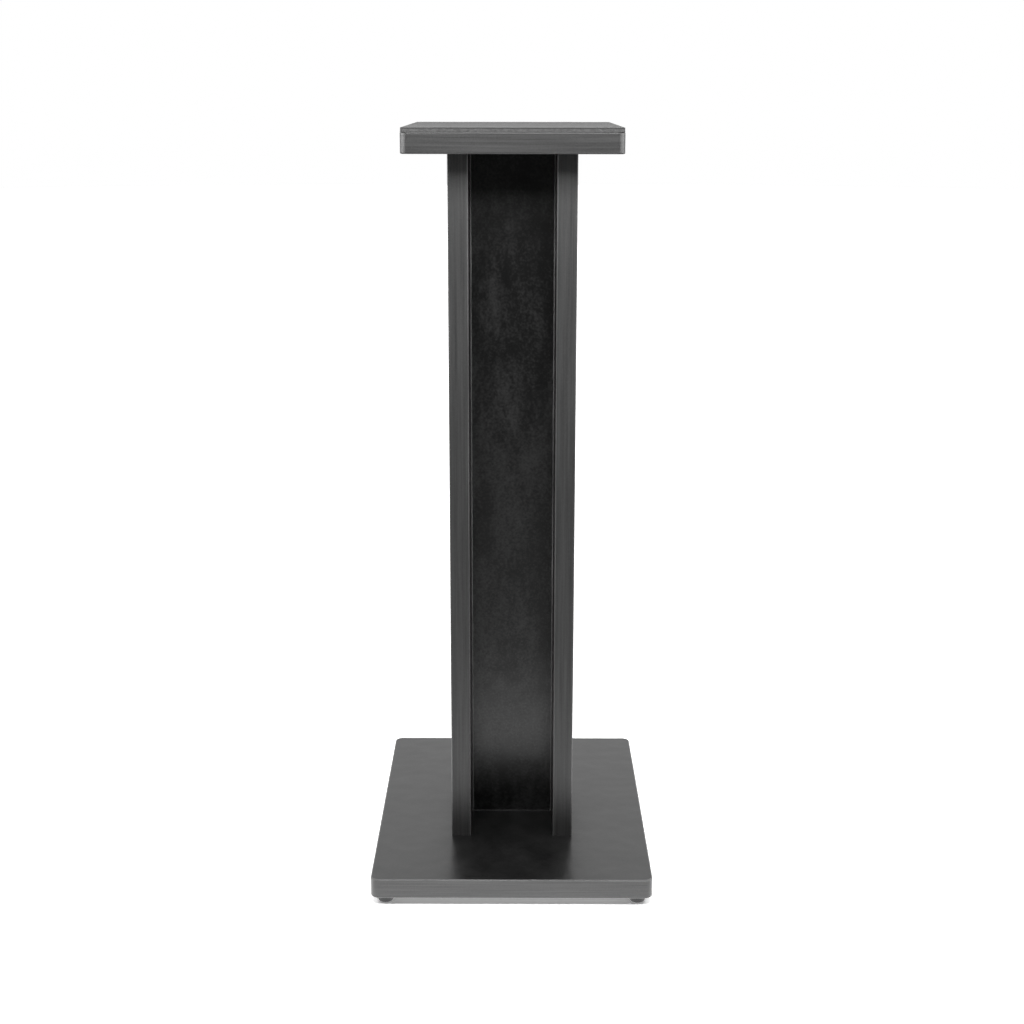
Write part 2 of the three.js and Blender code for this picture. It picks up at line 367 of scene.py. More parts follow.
@dataclass(frozen=True)
class ZincPlate(Finish):
    """Bright zinc plating with a clear passivation, over cold-headed steel."""

    bloom: float = 3.0

    def dress(self, tree: bpy.types.NodeTree, shader: bpy.types.Node) -> None:
        """Adds the passivation's faint bloom and the drawn steel's fine relief."""
        shader.inputs["Metallic"].default_value = 1.0
        place = add_node(tree, "ShaderNodeTexCoord").outputs["Object"]
        bloom = add_node(tree, "ShaderNodeTexNoise", {"Scale": per_metre(self.bloom), "Detail": 3.0}, {"Vector": place})
        tint = add_node(
            tree, "ShaderNodeMix", {"data_type": "RGBA", 6: linear("#b9b6ac"), 7: linear(self.colour)}, {0: bloom.outputs[0]}
        )
        tree.links.new(tint.outputs[2], shader.inputs["Base Color"])
        wear = add_node(
            tree,
            "ShaderNodeMapRange",
            {"To Min": self.roughness - 0.08, "To Max": self.roughness + 0.12},
            {"Value": bloom.outputs[0]},
        )
        tree.links.new(wear.outputs[0], shader.inputs["Roughness"])
        relief = add_node(tree, "ShaderNodeBump", {"Strength": 0.3, "Distance": 0.02 * MM}, {"Height": bloom.outputs[0]})
        tree.links.new(relief.outputs[0], shader.inputs["Normal"])


@dataclass(frozen=True)
class PressedBeech(Finish):
    """Turned beech dowel with its grain along X, and the short dark flecks of its rays."""

    fleck: tuple[float, float, float] = (3.2, 0.5, 0.5)

    def dress(self, tree: bpy.types.NodeTree, shader: bpy.types.Node) -> None:
        """Adds the grain, the ray flecks and the pores' relief."""
        place = add_node(tree, "ShaderNodeTexCoord").outputs["Object"]
        along = add_node(tree, "ShaderNodeMapping", {"Scale": [per_metre(cell) for cell in self.fleck]}, {"Vector": place})
        flecks = add_node(tree, "ShaderNodeTexNoise", {"Scale": 1.0, "Detail": 3.0}, {"Vector": along.outputs[0]})
        grain = add_node(
            tree,
            "ShaderNodeMapRange",
            {"From Min": 0.35, "From Max": 0.65, "To Min": 0.0, "To Max": 1.0},
            {"Value": flecks.outputs[0]},
        )
        wood = add_node(
            tree, "ShaderNodeMix", {"data_type": "RGBA", 6: linear("#a97b52"), 7: linear(self.colour)}, {0: grain.outputs[0]}
        )
        tree.links.new(wood.outputs[2], shader.inputs["Base Color"])
        pores = add_node(tree, "ShaderNodeBump", {"Strength": 0.5, "Distance": 0.04 * MM}, {"Height": flecks.outputs[0]})
        tree.links.new(pores.outputs[0], shader.inputs["Normal"])


FACE = SprayedLacquer("fibreboard_sprayed_satin_black", "#0e0e0e", 0.31)
# Painted shade: the web gets the faces' lacquer with a darker body colour, for the shade in the recess between the side
# boards. Its clouds are the film's random mottling.
WEB_FACE_PAINTED_SHADE = SprayedLacquer(
    "fibreboard_sprayed_painted_recess_shade", "#040404", 0.31, (22.0, 30.0, 70.0), thin="#282828", span=(0.84, 1.2)
)
UPRIGHT_EDGE = LacqueredEdge("fibreboard_edge_lacquered_upright", "#242424", 0.42, Lay.UPRIGHT)
LEVEL_EDGE = LacqueredEdge("fibreboard_edge_lacquered_level", "#232323", 0.34, Lay.LEVEL)
# Painted highlight: the arris finishes are the edge lacquer made paler, to draw bright lines along the rounded arrises.
# The column's, the top plate's and the base plate's copies differ only in how bright the painted line is.
UPRIGHT_ARRIS_HIGHLIGHT = LacqueredEdge("fibreboard_arris_painted_highlight_upright", "#383838", 0.4, Lay.UPRIGHT, "#545454")
TOP_ARRIS_HIGHLIGHT = LacqueredEdge("fibreboard_arris_painted_faint_highlight_level", "#282828", 0.34, Lay.LEVEL, "#3a3a3a")
BASE_ARRIS_HIGHLIGHT = LacqueredEdge("fibreboard_arris_painted_bright_highlight_level", "#505050", 0.34, Lay.LEVEL, "#6a6a6a")
# Painted highlight: the filler bead beside the web gets a pale colour, to draw the bright line along the web's upright
# joints.
JOINT = LacqueredEdge("joint_filler_painted_highlight_upright", "#2a2a2a", 0.4, Lay.UPRIGHT, "#6c6c6c")
FOOT_JOINT = LacqueredEdge("joint_filler_wiped_level", "#0c0c0c", 0.8, Lay.LEVEL, "#181818")
HOLE = DrilledFibreboard("fibreboard_drilled_raw", "#b8986d", 0.9)
FOAM = CutFoam("rubber_foam_sheet_skin", "#646464", 0.62)
# The pad's knife-cut sides: the same foam, rougher where the cells are cut. Their colour is darker than the top's, and
# that difference is painted shade.
FOAM_SIDE_PAINTED_SHADE = CutFoam("rubber_foam_knife_cut_painted_shade", "#474747", 0.75, "#2c2c2c")
RUBBER = MouldedRubber("rubber_moulded_matt", "#121213", 0.62)
ZINC = ZincPlate("steel_zinc_plated", "#c9cdd1", 0.3)
BEECH = PressedBeech("beech_turned_dowel", "#cfa87c", 0.6)


# ---------------------------------------------------------------- mesh work


def edges_along(mesh: BMesh, axis: Axis) -> list[BMEdge]:
    """Returns the edges that run along an axis."""
    return [e for e in mesh.edges if abs((e.verts[1].co - e.verts[0].co).normalized()[axis.value]) > 0.999]


def block(width: float, depth: float, height: float) -> BMesh:
    """A square-edged block standing on z = 0 round the Z axis.

    Args:
        width: size along X.
        depth: size along Y.
        height: size along Z.

    Returns:
        The new mesh.
    """
    mesh = bmesh.new()
    bmesh.ops.create_cube(mesh, size=1.0)
    bmesh.ops.scale(mesh, vec=(width, depth, height), verts=mesh.verts)
    bmesh.ops.translate(mesh, vec=(0, 0, height / 2), verts=mesh.verts)
    return mesh


def ease(mesh: BMesh, edges: list[BMEdge], radius: float, steps: int) -> None:
    """Rounds edges.

    Args:
        mesh: the mesh they are in.
        edges: the edges to round.
        radius: how far the rounding reaches on each side.
        steps: number of strips across it.
    """
    bmesh.ops.bevel(
        mesh,
        geom=edges,
        offset=radius,
        offset_type="OFFSET",
        segments=steps,
        profile=0.5,
        affect="EDGES",
        material=-1,
        clamp_overlap=True,
    )
    mesh.normal_update()


def rims(mesh: BMesh) -> list[BMEdge]:
    """Returns the edges between a level face and an upright one."""
    mesh.normal_update()
    found = []
    for edge in mesh.edges:
        if len(edge.link_faces) == 2:
            one, other = (abs(face.normal.z) for face in edge.link_faces)
            if abs(one - other) > 0.9:
                found.append(edge)
    return found


def turned(profile: Sequence[tuple[float, float]], steps: int) -> BMesh:
    """Spins a profile round Z into a closed turned shape.

    Args:
        profile: radius and height of each corner, from one end to the other.
        steps: number of faces round it.

    Returns:
        The new mesh.
    """
    mesh = bmesh.new()
    corners = [mesh.verts.new((radius, 0, height)) for radius, height in profile]
    line = [mesh.edges.new(pair) for pair in zip(corners, corners[1:])]
    bmesh.ops.spin(
        mesh,
        geom=corners + line,
        cent=(0, 0, 0),
        axis=(0, 0, 1),
        dvec=(0, 0, 0),
        angle=2 * math.pi,
        steps=steps,
        use_merge=True,
        use_duplicate=False,
    )
    clean(mesh)
    return mesh


def clean(mesh: BMesh) -> None:
    """Merges doubled vertices, then turns every face outwards."""
    bmesh.ops.remove_doubles(mesh, verts=mesh.verts, dist=1e-4)
    bmesh.ops.recalc_face_normals(mesh, faces=mesh.faces)
    mesh.normal_update()


def moved(mesh: BMesh, x: float = 0.0, y: float = 0.0, z: float = 0.0, flip: bool = False) -> BMesh:
    """Places a mesh, first turning it head over heels if asked.

    Args:
        mesh: the mesh to place.
        x, y, z: how far it moves.
        flip: turns it half round X first.

    Returns:
        The same mesh.
    """
    if flip:
        bmesh.ops.rotate(mesh, cent=(0, 0, 0), matrix=Matrix.Rotation(math.pi, 3, "X"), verts=mesh.verts)
    bmesh.ops.translate(mesh, vec=(x, y, z), verts=mesh.verts)
    return mesh


def joined(parts: Iterable[BMesh]) -> BMesh:
    """Puts several meshes in one, and frees them."""
    whole = bmesh.new()
    for part in parts:
        held = bpy.data.meshes.new("held")
        part.to_mesh(held)
        whole.from_mesh(held)
        bpy.data.meshes.remove(held)
        part.free()
    return whole


def cut(solid: BMesh, tools: Iterable[BMesh], slot: int = 0) -> BMesh:
    """Cuts tools out of a solid.

    Args:
        solid: the mesh that is cut, which is freed.
        tools: closed meshes that are taken away, also freed.
        slot: material slot of the faces that the tools leave.

    Returns:
        The cut mesh.
    """
    pair = []
    for name, mesh in (("solid", solid), ("tools", joined(tools))):
        if name == "tools":
            for face in mesh.faces:
                face.material_index = slot
        held = bpy.data.meshes.new(name)
        mesh.to_mesh(held)
        mesh.free()
        for _ in range(slot + 1):
            held.materials.append(None)
        body = bpy.data.objects.new(name, held)
        bpy.context.scene.collection.objects.link(body)
        pair.append(body)
    saw = pair[0].modifiers.new("cut", "BOOLEAN")
    saw.operation = "DIFFERENCE"
    saw.solver = "EXACT"
    saw.object = pair[1]
    done = bpy.data.meshes.new_from_object(pair[0].evaluated_get(bpy.context.evaluated_depsgraph_get()))
    result = bmesh.new()
    result.from_mesh(done)
    for body in pair:
        bpy.data.objects.remove(body)
    bpy.data.meshes.remove(done)
    clean(result)
    return result


def finish_piece(
    name: str,
    mesh: BMesh,
    finishes: Sequence[Finish],
    nodes: Sequence[str] = (),
    crease: float = 40.0,
) -> bpy.types.Object:
    """Makes a piece of the stand from a mesh in millimetres.

    Args:
        name: the piece's name.
        mesh: its shape, in place, which is freed.
        finishes: its finishes, in the order of its material slots.
        nodes: the CAD nodes that it stands for.
        crease: edges sharper than this many degrees stay crisp.

    Returns:
        The new object.
    """
    clean(mesh)
    bmesh.ops.scale(mesh, vec=(MM, MM, MM), verts=mesh.verts)
    data = bpy.data.meshes.new(name)
    mesh.to_mesh(data)
    mesh.free()
    data.shade_smooth()
    data.set_sharp_from_angle(angle=math.radians(crease))
    for finish in finishes:
        data.materials.append(finish.material())
    piece = bpy.data.objects.new(name, data)
    bpy.context.scene.collection.objects.link(piece)
    even = piece.modifiers.new("even_shading", "WEIGHTED_NORMAL")
    even.keep_sharp = True
    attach(piece, "root")
    if nodes:
        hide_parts(*nodes)
    log.info("%s: %d faces, stands for %s", name, len(data.polygons), ", ".join(nodes) or "nothing in the frame")
    return piece


def finish_faces(mesh: BMesh, axis: Axis) -> None:
    """Gives the broad faces material slot 0, the edges slot 1 and the upper and upright arrises slot 2, where plates
    and side boards get their painted highlight lines.

    Args:
        mesh: a board.
        axis: the direction across its thickness.
    """
    mesh.normal_update()
    for face in mesh.faces:
        broad = abs(face.normal[axis.value])
        if broad > 0.995:
            face.material_index = 0
        else:
            face.material_index = 1 if broad < 0.05 or face.normal.z < -0.05 else 2


# ---------------------------------------------------------------- fasteners


@dataclass
class ConnectingScrew:
    """A countersunk connecting screw with a hex socket and a coarse wood thread.

    Its head is at z = 0 and its point is up.
    """

    head_radius: float = 5.0
    rim: float = 0.8
    head_height: float = 3.6
    collar_radius: float = 3.5
    collar_end: float = 12.0
    core_radius: float = 2.5
    pitch: float = 6.0
    turns: int = 5
    length: float = 50.0
    socket_flats: float = 4.0
    socket_depth: float = 2.5
    steps: int = 32

    def shape(self) -> BMesh:
        """Builds the head, collar, core and point, with the thread wound round the core."""
        core = turned(
            [
                (0, 0),
                (self.head_radius - 0.3, 0),
                (self.head_radius, 0.3),
                (self.head_radius, self.rim),
                (self.collar_radius, self.head_height),
                (self.collar_radius, self.collar_end),
                (self.core_radius, self.collar_end + 1),
                (self.core_radius, self.length - 5),
                (0, self.length),
            ],
            self.steps,
        )
        socket = bmesh.new()
        bmesh.ops.create_cone(
            socket,
            cap_ends=True,
            segments=6,
            radius1=self.socket_flats / math.sqrt(3),
            radius2=self.socket_flats / math.sqrt(3),
            depth=2 * self.socket_depth,
        )
        return joined([cut(core, [socket]), self.thread()])

    def thread(self) -> BMesh:
        """Winds a closed ridge round the core."""
        mesh = bmesh.new()
        ridge = [(self.core_radius - 0.3, -0.9), (self.collar_radius, 0), (self.core_radius - 0.3, 0.9)]
        corners = [mesh.verts.new((radius, 0, height)) for radius, height in ridge]
        section = mesh.faces.new(corners)
        per_turn = 20
        bmesh.ops.spin(
            mesh,
            geom=[section, *section.edges, *section.verts],
            cent=(0, 0, 0),
            axis=(0, 0, 1),
            dvec=(0, 0, self.pitch / per_turn),
            angle=2 * math.pi * self.turns,
            steps=per_turn * self.turns,
            use_merge=False,
            use_duplicate=False,
        )
        moved(mesh, z=self.collar_end + 3)
        clean(mesh)
        return mesh

    def hole(self, clearance: float, sunk: float, through: float) -> BMesh:
        """The countersunk hole that takes the screw.

        Args:
            clearance: room round the screw.
            sunk: how far the head lies under the face at z = 0.
            through: the board's thickness.

        Returns:
            A closed cutting tool that runs out of both faces.
        """
        head = self.head_radius + clearance
        collar = self.collar_radius + clearance
        rim = sunk + self.rim + clearance
        neck = sunk + self.head_height + clearance
        profile = [(0, -1), (head, -1), (head, rim), (collar, neck), (collar, through + 1), (0, through + 1)]
        return turned(profile, self.steps)


@dataclass
class FootScrew:
    """A pan-head screw with a cross recess, its head under z = 0 and its shank above."""

    head_radius: float = 3.3
    head_height: float = 2.25
    head_top: float = 1.5
    head_side: float = 0.55
    shank_radius: float = 1.75
    length: float = 20.0
    slot_width: float = 0.9
    slot_length: float = 3.6
    slot_depth: float = 1.2
    slot_taper: float = 0.55
    steps: int = 32

    def shape(self) -> BMesh:
        """Builds the head and shank and cuts the tapered cross."""
        profile = [(0, -self.head_height)]
        for step in range(7):
            angle = math.radians(90 - 15 * step)
            reach = self.head_top + (self.head_radius - self.head_top) * math.cos(angle)
            profile.append((reach, -self.head_side - (self.head_height - self.head_side) * math.sin(angle)))
        profile += [(self.head_radius, 0), (self.shank_radius, 0)]
        profile += [(self.shank_radius, self.length - 2 * self.shank_radius), (0, self.length)]
        body = turned(profile, self.steps)
        for turn in (0, math.pi / 2):
            bar = block(self.slot_width, self.slot_length, 2 * self.slot_depth)
            bmesh.ops.rotate(bar, cent=(0, 0, 0), matrix=Matrix.Rotation(turn, 3, "Z"), verts=bar.verts)
            deep = [vert for vert in bar.verts if vert.co.z > self.slot_depth]
            bmesh.ops.scale(bar, vec=(self.slot_taper, self.slot_taper, 1), verts=deep)
            body = cut(body, [moved(bar, z=-self.head_height - self.slot_depth)])
        return body


# ---------------------------------------------------------------- sub-assemblies


@dataclass
class Plate:
    """A lying board with rounded plan corners and eased arrises, drilled for six connecting screws.

    Attributes:
        node: the CAD node that it stands for.
        screws: start of its screws' node names.
        width: size along X.
        depth: size along Y.
        bottom: height of its underside.
        heads_up: true where the screws go in from above.
        arris: finish of its upper arris, paler than its edge to paint a highlight line along it.
        screw: the connecting screw.
    """

    node: str
    screws: str
    width: float
    depth: float
    bottom: float
    heads_up: bool
    arris: Finish
    screw: ConnectingScrew = field(default_factory=ConnectingScrew)
    side_x: float = 51.25
    side_y: float = 52.0
    web_x: float = 21.0
    web_y: float = -11.25
    sunk: float = 0.5
    clearance: float = 0.3

    def spots(self) -> dict[str, tuple[float, float]]:
        """Returns the place of each connecting screw by the end of its name."""
        found = {}
        for side, sign in (("left", -1), ("right", 1)):
            found[f"{side}_front"] = (sign * self.side_x, -self.side_y)
            found[f"{side}_rear"] = (sign * self.side_x, self.side_y)
            found[f"web_{side}"] = (sign * self.web_x, self.web_y)
        return found

    def drills(self) -> list[BMesh]:
        """Returns a cutting tool for each connecting screw, in the stand's frame."""
        level = self.bottom + BOARD if self.heads_up else self.bottom
        return [
            moved(self.screw.hole(self.clearance, self.sunk, BOARD), x, y, level, self.heads_up)
            for x, y in self.spots().values()
        ]

    def build(self, extra: Iterable[BMesh] = ()) -> bpy.types.Object:
        """Builds and dresses the board.

        Args:
            extra: more cutting tools, such as pilot holes.

        Returns:
            The board.
        """
        mesh = block(self.width, self.depth, BOARD)
        ease(mesh, edges_along(mesh, Axis.Z), PLATE_CORNER, 14)
        ease(mesh, rims(mesh), ARRIS, 5)
        moved(mesh, z=self.bottom)
        finish_faces(mesh, Axis.Z)
        mesh = cut(mesh, [*self.drills(), *extra], 3)
        return finish_piece(f"{self.node}_board", mesh, (FACE, LEVEL_EDGE, self.arris, HOLE), [self.node])

    def fasten(self) -> None:
        """Puts the connecting screws in."""
        level = self.bottom + BOARD - self.sunk if self.heads_up else self.bottom + self.sunk
        for spot, (x, y) in self.spots().items():
            shape = moved(self.screw.shape(), x, y, level, self.heads_up)
            name = f"{self.screws}_{spot}"
            finish_piece(f"{name}_threaded", shape, (ZINC,), [name], 30)


@dataclass
class Feet:
    """Four moulded bumper feet, each with a washer and a screw in its recess."""

    x: float = 122.5
    y: float = 162.0
    bottom_radius: float = 7.5
    top_radius: float = 8.0
    recess_radius: float = 4.2
    recess_depth: float = 4.25
    edge: float = 1.0
    washer_radius: float = 3.75
    washer_hole: float = 2.2
    washer_thickness: float = 0.75
    clearance: float = 0.3
    screw: FootScrew = field(default_factory=FootScrew)
    steps: int = 64

    def spots(self) -> dict[str, tuple[float, float]]:
        """Returns the place of each foot by the end of its name."""
        return {
            f"{end}_{side}": (across * self.x, back * self.y)
            for end, back in (("front", -1), ("rear", 1))
            for side, across in (("left", -1), ("right", 1))
        }

    def pilots(self) -> list[BMesh]:
        """Returns the screws' pilot holes in the base plate."""
        radius = self.screw.shank_radius + self.clearance
        depth = self.screw.length - (FOOT_HEIGHT - self.recess_depth + self.washer_thickness) + self.clearance
        profile = [(0, -1), (radius, -1), (radius, depth - 1), (0, depth)]
        return [moved(turned(profile, 24), x, y, FOOT_HEIGHT) for x, y in self.spots().values()]

    def bumper(self) -> BMesh:
        """Builds one foot on z = 0, with its moulded radii."""
        hole = self.screw.shank_radius + self.clearance
        profile = [(self.recess_radius, 0.25), (self.recess_radius + 0.25, 0)]
        for centre, radius, start in (
            (self.edge, self.bottom_radius, -90),
            (FOOT_HEIGHT - self.edge, self.top_radius, 0),
        ):
            for step in range(7):
                angle = math.radians(start + 15 * step)
                reach = radius - self.edge + self.edge * math.cos(angle)
                profile.append((reach, centre + self.edge * math.sin(angle)))
        profile += [(hole, FOOT_HEIGHT), (hole, self.recess_depth), (self.recess_radius, self.recess_depth)]
        profile.append(profile[0])
        return turned(profile, self.steps)

    def washer(self) -> BMesh:
        """Builds one washer with its upper face at z = 0 and a stamped rounding."""
        hole, rim, thick = self.washer_hole, self.washer_radius, self.washer_thickness
        profile = [(hole, -thick), (rim - 0.2, -thick), (rim, 0.2 - thick), (rim, 0), (hole, 0), (hole, -thick)]
        return turned(profile, self.steps)

    def build(self) -> None:
        """Builds and dresses every foot with its washer and screw."""
        for spot, (x, y) in self.spots().items():
            for name, mesh, height, finish, slot in (
                ("foot", self.bumper(), 0.0, RUBBER, Slot.RUBBER),
                ("foot_washer", self.washer(), self.recess_depth, ZINC, Slot.ZINC),
                ("foot_screw", self.screw.shape(), self.recess_depth - self.washer_thickness, ZINC, Slot.ZINC),
            ):
                piece = moved(mesh, x, y, height)
                finish_piece(f"{name}_{spot}_turned", piece, (finish,), [f"{name}_{spot}"], 30)


@dataclass
class Column:
    """Two side boards with a web panel between them, dowelled, and filled along the web's four joints."""

    width: float = 122.0
    depth: float = 161.0
    web_front: float = -21.0
    end_depth: float = 31.3
    hole_radius: float = 3.8
    dowel_radius: float = 4.3
    dowel_in_board: float = 13.3
    dowel_in_web: float = 19.3
    dowels: int = 4
    side_y: float = 52.0
    web_x: float = 21.0
    bead: float = 1.5
    wander: float = 8.6

    @property
    def inner(self) -> float:
        """Half the clear width between the side boards."""
        return self.width / 2 - BOARD

    @property
    def web_middle(self) -> float:
        """Where the web's middle plane is."""
        return self.web_front + BOARD / 2

    def drill(self, radius: float, depth: float, turn: Matrix | None = None) -> BMesh:
        """A drill that enters at z = 0 and goes up, or the way that it is turned."""
        mesh = turned([(0, -1), (radius, -1), (radius, depth - 1), (0, depth)], 24)
        if turn is not None:
            bmesh.ops.rotate(mesh, cent=(0, 0, 0), matrix=turn, verts=mesh.verts)
        return mesh

    def end_holes(self, places: Iterable[tuple[float, float]]) -> list[BMesh]:
        """Returns the screw holes in both ends of a board, at those places."""
        holes = []
        for x, y in places:
            holes.append(moved(self.drill(self.hole_radius, self.end_depth), x, y, COLUMN_BOTTOM))
            holes.append(moved(self.drill(self.hole_radius, self.end_depth), x, y, TOP_BOTTOM, True))
        return holes

    def dowel_holes(self, x: float, sign: int, depth: float) -> list[BMesh]:
        """Returns the dowel holes drilled from a plane at x towards the given side."""
        turn = Matrix.Rotation(sign * math.pi / 2, 3, "Y")
        step = COLUMN_HEIGHT / self.dowels
        heights = [COLUMN_BOTTOM + (row + 0.5) * step for row in range(self.dowels)]
        return [moved(self.drill(self.dowel_radius, depth, turn), x, self.web_middle, z) for z in heights]

    def board(self, side: str, sign: int) -> bpy.types.Object:
        """Builds and dresses one side board."""
        mesh = block(BOARD, self.depth, COLUMN_HEIGHT)
        ease(mesh, edges_along(mesh, Axis.Z), ARRIS, 6)
        x = sign * (self.width - BOARD) / 2
        moved(mesh, x=x, z=COLUMN_BOTTOM)
        finish_faces(mesh, Axis.X)
        holes = self.end_holes([(x, -self.side_y), (x, self.side_y)])
        holes += self.dowel_holes(sign * self.inner, sign, self.dowel_in_board)
        mesh = cut(mesh, holes, 3)
        node = f"{side}_side_board"
        return finish_piece(f"{node}_planed", mesh, (FACE, UPRIGHT_EDGE, UPRIGHT_ARRIS_HIGHLIGHT, HOLE), [node])

    def web(self) -> bpy.types.Object:
        """Builds and dresses the web panel."""
        mesh = block(2 * self.inner, BOARD, COLUMN_HEIGHT)
        moved(mesh, y=self.web_middle, z=COLUMN_BOTTOM)
        finish_faces(mesh, Axis.Y)
        holes = self.end_holes([(-self.web_x, self.web_middle), (self.web_x, self.web_middle)])
        for sign in (-1, 1):
            holes += self.dowel_holes(sign * self.inner, -sign, self.dowel_in_web)
        mesh = cut(mesh, holes, 2)
        return finish_piece("web_panel_board", mesh, (WEB_FACE_PAINTED_SHADE, UPRIGHT_EDGE, HOLE), ["web_panel"])

    def fillet(self, length: float, seed: float) -> BMesh:
        """Builds one filled joint, a concave fillet wiped with a finger and a little uneven along its length.

        Args:
            length: how long it is, up from z = 0.
            seed: picks its unevenness.

        Returns:
            The fillet, with the joint on the Z axis and its two sides along +X and +Y.
        """
        mesh = bmesh.new()
        start = mesh.verts.new((self.bead, 0, 0))
        arc = bmesh.ops.spin(
            mesh,
            geom=[start],
            cent=(self.bead, self.bead, 0),
            axis=(0, 0, 1),
            dvec=(0, 0, 0),
            angle=-math.pi / 2,
            steps=8,
            use_merge=False,
            use_duplicate=False,
        )
        end = next(item for item in arc["geom_last"] if isinstance(item, BMVert))
        corner = [mesh.verts.new(place) for place in ((-0.2, self.bead, 0), (-0.2, -0.2, 0), (self.bead, -0.2, 0))]
        for pair in zip((end, *corner), (*corner, start)):
            mesh.edges.new(pair)
        section = bmesh.ops.contextual_create(mesh, geom=mesh.edges)["faces"]
        grown = bmesh.ops.extrude_face_region(mesh, geom=section, use_keep_orig=True)
        top = [item for item in grown["geom"] if isinstance(item, BMVert)]
        bmesh.ops.translate(mesh, vec=(0, 0, length), verts=top)
        slices = round(length / self.wander)
        for step in range(1, slices):
            plane = Vector((0, 0, step * length / slices))
            bmesh.ops.bisect_plane(mesh, geom=[*mesh.verts, *mesh.edges, *mesh.faces], plane_co=plane, plane_no=(0, 0, 1))
        for vert in mesh.verts:
            if min(vert.co.x, vert.co.y) >= 0:
                uneven = 0.82 + 0.3 * noise.noise((0, seed, vert.co.z / 31))
                vert.co.x *= uneven
                vert.co.y *= uneven
        return mesh

    def joints(self) -> None:
        """Fills the web's four upright joints with the side boards, and its two joints with the base plate."""
        for end, facing in (("front", -1), ("rear", 1)):
            face = self.web_front if facing < 0 else self.web_front + BOARD
            for side, sign in (("left", -1), ("right", 1)):
                bead = self.fillet(COLUMN_HEIGHT, 7.0 * sign + 3.0 * facing)
                bmesh.ops.scale(bead, vec=(-sign, facing, 1), verts=bead.verts)
                moved(bead, sign * self.inner, face, COLUMN_BOTTOM)
                finish_piece(f"joint_bead_{end}_{side}", bead, (JOINT,), crease=60)
            bead = self.fillet(2 * self.inner, 5.0 * facing)
            lying = Matrix(((0, 0, 1), (facing, 0, 0), (0, 1, 0)))
            bmesh.ops.transform(bead, matrix=lying.to_4x4(), verts=bead.verts)
            moved(bead, -self.inner, face, COLUMN_BOTTOM)
            finish_piece(f"joint_bead_{end}_foot", bead, (FOOT_JOINT,), crease=60)

    def build(self) -> None:
        """Builds and dresses the boards, the web, its filled joints and the dowels."""
        self.web()
        for side, sign in (("left", -1), ("right", 1)):
            self.board(side, sign)
            for number in range(1, self.dowels + 1):
                dress_node(f"dowel_{side}_{number}", BEECH)
        self.joints()


@dataclass
class Pad:
    """The isolation pad: a sheet of foam cut to the top plate with a knife, so its edge is a little rough."""

    width: float = 202.0
    depth: float = 261.0
    thickness: float = 4.0
    bottom: float = TOP_BOTTOM + BOARD
    corner: float = 3.0
    arris: float = 0.4
    grid: float = 2.0

    def build(self) -> bpy.types.Object:
        """Builds and dresses the pad."""
        mesh = block(self.width, self.depth, self.thickness)
        ease(mesh, edges_along(mesh, Axis.Z), self.corner, 8)
        ease(mesh, [edge for edge in rims(mesh) if edge.verts[0].co.z > 1], self.arris, 2)
        self.divide(mesh, Axis.X, self.width)
        self.divide(mesh, Axis.Y, self.depth)
        for height in (1.4, 2.6):
            self.slice(mesh, Vector((0, 0, height)), Vector((0, 0, 1)))
        mesh.normal_update()
        for face in mesh.faces:
            face.material_index = 0 if face.normal.z > 0.9 else 1
        self.roughen(mesh)
        moved(mesh, z=self.bottom)
        pad = finish_piece("isolation_pad_sheet", mesh, (FOAM, FOAM_SIDE_PAINTED_SHADE), ["isolation_pad"], 60)
        return pad

    def slice(self, mesh: BMesh, through: Vector, normal: Vector) -> None:
        """Adds an edge loop where a plane meets the mesh."""
        geometry = [*mesh.verts, *mesh.edges, *mesh.faces]
        bmesh.ops.bisect_plane(mesh, geom=geometry, dist=1e-5, plane_co=through, plane_no=normal)

    def divide(self, mesh: BMesh, axis: Axis, size: float) -> None:
        """Slices the mesh into a grid along an axis."""
        normal = Vector((0, 0, 0))
        normal[axis.value] = 1
        count = round(size / self.grid)
        for line in range(1, count):
            self.slice(mesh, normal * (line * size / count - size / 2), normal)

    def roughen(self, mesh: BMesh) -> None:
        """Draws the knife's wander into the sides and a slight swell into the top, always inwards."""
        mesh.normal_update()
        for vert in mesh.verts:
            place = vert.co
            if vert.normal.z < 0.9 and place.z > 0.1:
                drift = 0.5 + 0.5 * noise.noise(place / 9) + 0.5 * noise.noise((place + Vector((40, 0, 0))) / 1.7)
                vert.co -= Vector((vert.normal.x, vert.normal.y, 0)) * 0.3 * max(drift, 0)
            if place.z > self.thickness - 0.01:
                vert.co.z -= 0.12 * (0.5 + 0.5 * noise.noise(place / 14))


def dress_node(node: str, finish: Finish) -> None:
    """Gives a CAD node that stays in sight its finish."""
    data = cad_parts[node].data
    data.materials.clear()
    data.materials.append(finish.material())
    log.info("%s: the frame's own shape, with the finish %s", node, finish.name)


# ---------------------------------------------------------------- studio


@dataclass(frozen=True)
class Softbox:
    """A soft rectangular lamp.

    Attributes:
        name: its name.
        place: its middle, in metres.
        target: what it faces.
        size: width and height, in metres.
        level: radiance of its face, where 1 is white.
    """

    name: str
    place: tuple[float, float, float]
    target: tuple[float, float, float]
    size: tuple[float, float]
    level: float

    def hang(self) -> None:
        """Adds the lamp, out of the camera's sight."""
        data = bpy.data.lights.new(self.name, "AREA")
        data.shape = "RECTANGLE"
        data.size, data.size_y = self.size
        data.energy = self.level * math.pi * self.size[0] * self.size[1]
        lamp = bpy.data.objects.new(self.name, data)
        lamp.location = self.place
        facing = Vector(self.target) - Vector(self.place)
        lamp.rotation_euler = facing.to_track_quat("-Z", "Y").to_euler()
        lamp.visible_camera = False
        bpy.context.scene.collection.objects.link(lamp)


